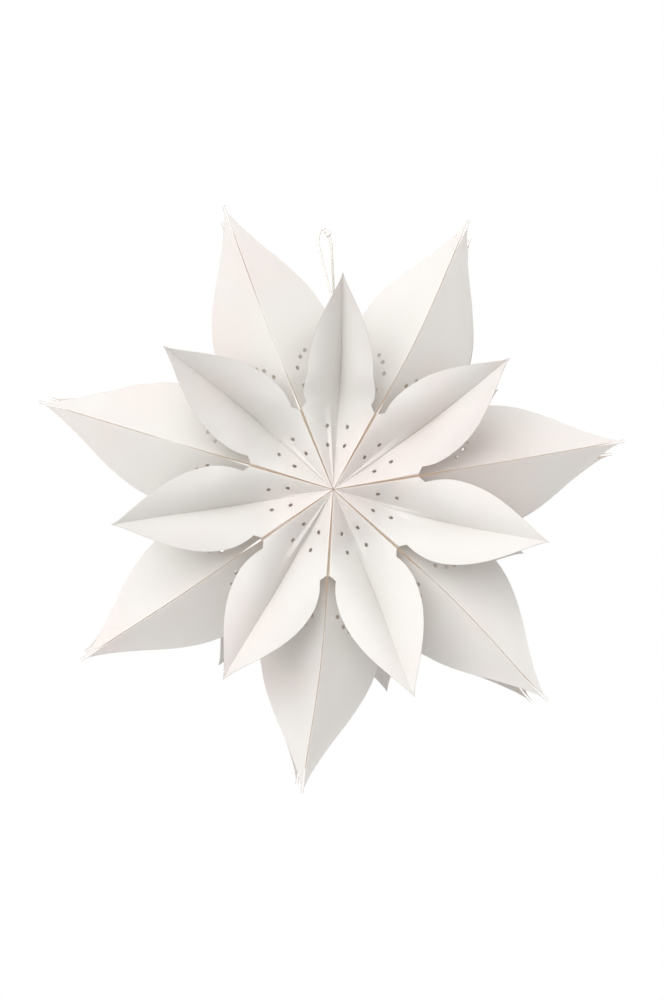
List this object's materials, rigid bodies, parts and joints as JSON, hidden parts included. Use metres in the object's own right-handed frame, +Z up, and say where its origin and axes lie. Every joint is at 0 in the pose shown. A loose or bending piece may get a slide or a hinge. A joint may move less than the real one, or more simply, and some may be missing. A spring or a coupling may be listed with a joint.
{
  "type": "paper advent star",
  "caption": "White folded paper star of seven two-ply units, with large and small pointed petals front and back, punched holes and a cord loop to hang it by.",
  "frame": {"origin": "middle of the star, on its axis and halfway between its front and back faces", "axes": "-Y out of the front face along the star's axis, +Z up as it hangs, +X to the right seen from the front"},
  "size_m": [0.439, 0.2206, 0.4353],
  "materials": {
    "paper_inner": "matte",
    "paper_outer": "matte",
    "cord": "twisted"
  },
  "bodies": {
    "root": {"inner_sheet_1": "paper_inner", "inner_sheet_2": "paper_inner", "inner_sheet_3": "paper_inner", "inner_sheet_4": "paper_inner", "inner_sheet_5": "paper_inner", "inner_sheet_6": "paper_inner", "inner_sheet_7": "paper_inner", "outer_sheet_1": "paper_outer", "outer_sheet_2": "paper_outer", "outer_sheet_3": "paper_outer", "outer_sheet_4": "paper_outer", "outer_sheet_5": "paper_outer", "outer_sheet_6": "paper_outer", "outer_sheet_7": "paper_outer", "hanging_cord": "cord"}
  },
  "joints": []
}
